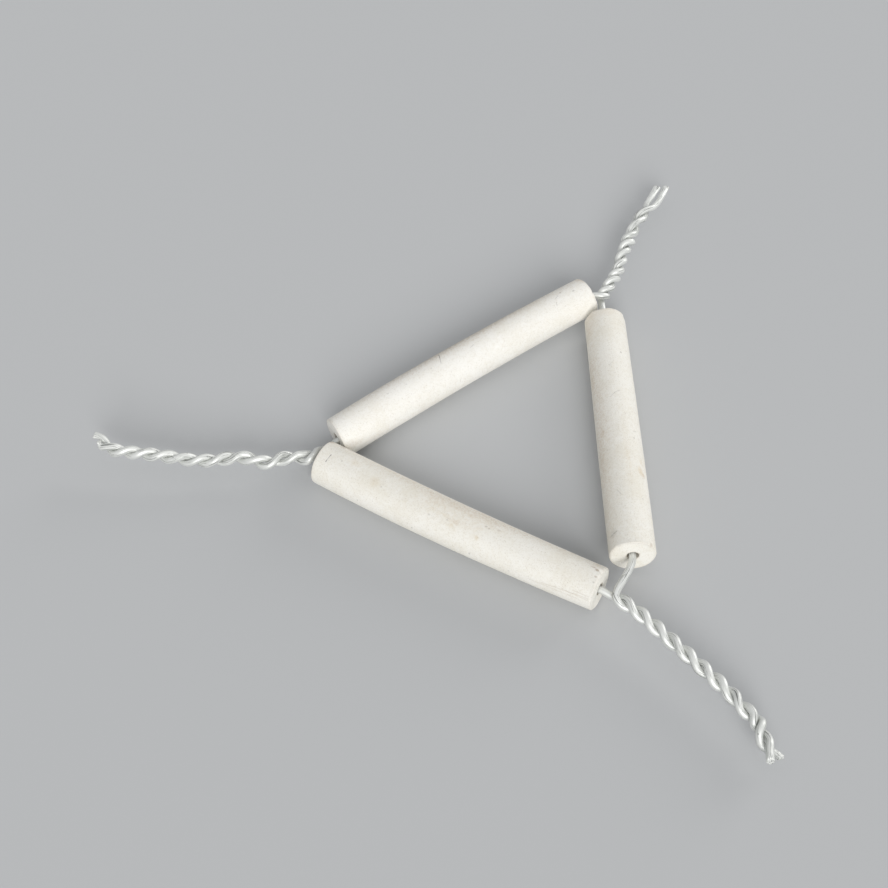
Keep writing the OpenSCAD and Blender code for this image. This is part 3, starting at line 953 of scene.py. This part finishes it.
# bow: how far the middle stands out from the ends. lift: of the two ends.
# girth: what the radius gains along the tube. rims: widths of the worn rims.
# ends, for the start and the end: further reach, slant outwards and slant upwards.
# chips: length along the tube, angle, half length, half width and depth.
TUBES = {
    "front": dict(
        seed=11, bow=0.61, lift=(0.13, 0.20), girth=(0.10, 0.12, -0.02, -0.20), rims=(0.20, 0.35),
        ends=((0.12, 0.0, -0.10), (0.12, 0.18, -0.05)),
        chips=[(60.1, -18, 0.7, 0.5, 0.30), (60.2, 3, 0.4, 0.35, 0.18), (60.2, 20, 0.35, 0.4, 0.15)],
    ),
    "right": dict(
        seed=23, bow=0.0, lift=(0.01, 0.03), girth=(-0.02, 0.03, -0.03, -0.12), rims=(0.30, 0.40),
        ends=((0.0, 0.0, 0.0), (0.15, 0.05, 0.0)),
        chips=[(0.0, 50, 0.5, 0.5, 0.20), (58.4, 75, 0.6, 0.6, 0.25)],
    ),
    "left": dict(
        seed=37, bow=0.67, lift=(0.0, 0.04), girth=(-0.18, -0.08, 0.0, -0.04), rims=(0.30, 0.25),
        ends=((0.20, 0.0, 0.0), (0.10, -0.15, 0.0)),
        chips=[(0.0, -35, 0.5, 0.4, 0.22), (0.1, -60, 0.4, 0.5, 0.18), (61.2, 35, 0.5, 0.5, 0.2)],
    ),
}
FINISHES = {
    "front": (FRONT_SPOTS, FRONT_LINES, CREAM),
    "right": (RIGHT_SPOTS, RIGHT_LINES, CREAM),
    "left": (LEFT_SPOTS, LEFT_LINES, WHITE),
}

for where, shape in TUBES.items():
    tube = clay_tube(where, shape)
    length = tube_line(where)[2]
    spots, lines, tones = FINISHES[where]
    tube.data.materials.append(clay_material(f"clay_{where}", length, spots, lines, *tones))

# ---------------------------------------------------------------- the wires
# rests: how far the wire lies off the middle of the bore, out and up, at the tube's start and end.
# tails: at the tube's start and at its end, each with 1 for the over wire or -1 for the under one.
# tips: lean of the cut in degrees, width left across it, length of the pinch, roughness and slope of the cut.
# nicks: length along the wire, angle, half length, half width and depth.
WIRES = {
    "front": dict(
        rests=((0.0, -0.35), (0.15, 0.13)), tails=(("left", -1), ("right", -1)), seed=51,
        tips=((90, 0.5, 1.6, 0.03, 0.0), (10, 0.85, 1.0, 0.03, 0.75)), nicks=[],
    ),
    "right": dict(
        rests=((-0.13, 0.2), (0.0, 0.0)), tails=(("right", 1), ("top", -1)), seed=67,
        tips=((15, 0.45, 1.6, 0.12, 0.5), (0, 0.7, 5.5, 0.04, 0.1)), nicks=[(52.2, 70, 0.35, 0.22, 0.28)],
    ),
    "left": dict(
        rests=((-0.2, -0.2), (-0.3, -0.29)), tails=(("top", 1), ("left", 1)), seed=83,
        tips=((0, 0.55, 5.5, 0.05, 0.1), (0, 0.75, 1.0, 0.03, 0.2)), nicks=[],
    ),
}
zinc = zinc_material()
for where, look in WIRES.items():
    wire = zinc_wire(where, TUBES[where], **look)
    wire.data.materials.append(zinc)


# ---------------------------------------------------------------- floor, world and lamps
FLOOR_HALF = 20.0  # metres
FLOOR_DROP = 0.02  # millimetres below the object
FLOOR_GREY = (0.56, 0.57, 0.58)
SKY_LIGHT = 0.46
SKY_SEEN = 0.80


def make_floor():
    """A wide, level, matt floor, just under the object."""
    mesh = bpy.data.meshes.new("floor")
    h = FLOOR_HALF
    mesh.from_pydata([(-h, -h, 0), (h, -h, 0), (h, h, 0), (-h, h, 0)], [], [(0, 1, 2, 3)])
    floor = bpy.data.objects.new("floor", mesh)
    floor.location.z = -FLOOR_DROP * MM
    bpy.context.collection.objects.link(floor)
    material = bpy.data.materials.new("floor")
    material.use_nodes = True
    shader = material.node_tree.nodes["Principled BSDF"]
    shader.inputs["Base Color"].default_value = (*FLOOR_GREY, 1)
    shader.inputs["Roughness"].default_value = 1.0
    shader.inputs["Specular IOR Level"].default_value = 0.0
    mesh.materials.append(material)


def make_world():
    """Even soft light; what the camera and glossy or clear surfaces see of it is paler."""
    world = bpy.data.worlds.new("studio")
    world.use_nodes = True
    bpy.context.scene.world = world
    tree = Tree(world.node_tree)
    background = world.node_tree.nodes["Background"]
    path = tree.add("ShaderNodeLightPath").outputs
    seen = tree.math("MAXIMUM", path["Is Camera Ray"], path["Is Transmission Ray"])
    seen = tree.math("MAXIMUM", seen, path["Is Glossy Ray"])
    strength = tree.math("MULTIPLY_ADD", seen, SKY_SEEN - SKY_LIGHT, SKY_LIGHT)
    tree.feed(background.inputs["Color"], (0.98, 0.99, 1.0, 1))
    tree.feed(background.inputs["Strength"], strength)


def soft_lamp(name, azimuth, elevation, spread, strength, colour):
    """A wide soft light from far off, at an azimuth and elevation, spread over an angle in degrees."""
    data = bpy.data.lights.new(name, "SUN")
    data.angle = math.radians(spread)
    data.energy = strength
    data.color = colour
    lamp = bpy.data.objects.new(name, data)
    a, e = math.radians(azimuth), math.radians(elevation)
    toward = Vector((math.sin(a) * math.cos(e), -math.cos(a) * math.cos(e), math.sin(e)))
    lamp.location = toward
    lamp.rotation_mode = "QUATERNION"
    lamp.rotation_quaternion = toward.to_track_quat("Z", "Y")
    bpy.context.collection.objects.link(lamp)


make_floor()
make_world()
soft_lamp("key", 40, 30, 33, 1.96, (1.0, 0.995, 0.985))
soft_lamp("side", 160, 16, 35, 1.03, (1.0, 0.99, 0.97))

bpy.context.scene.view_settings.view_transform = "Standard"
